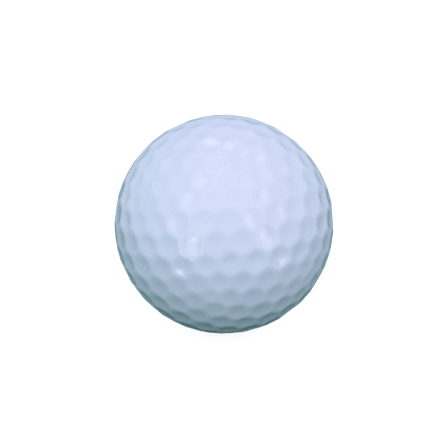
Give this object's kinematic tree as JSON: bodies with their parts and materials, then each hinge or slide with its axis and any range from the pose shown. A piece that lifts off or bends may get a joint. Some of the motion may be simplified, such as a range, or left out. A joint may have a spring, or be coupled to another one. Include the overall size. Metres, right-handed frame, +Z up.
{
  "type": "golf ball",
  "caption": "White dimpled golf ball with a two-part cover, a casing layer, an outer core and a solid inner core, all nested and fixed together",
  "frame": {"origin": "centre of the ball", "axes": "+Z is up as the ball lies in the picture and -Y faces the viewer; the moulding axis of the layers leans 32 degrees from +Z"},
  "size_m": [0.0426, 0.0426, 0.0426],
  "materials": {
    "cover": "glossy white paint under clear coat",
    "casing": "smooth moulded ionomer",
    "outer_core": "matt moulded rubber",
    "inner_core": "matt moulded rubber"
  },
  "bodies": {
    "root": {"cover_upper": "cover", "cover_lower": "cover", "casing_upper": "casing", "casing_lower": "casing", "outer_core_upper": "outer_core", "outer_core_lower": "outer_core", "inner_core": "inner_core"}
  },
  "joints": []
}
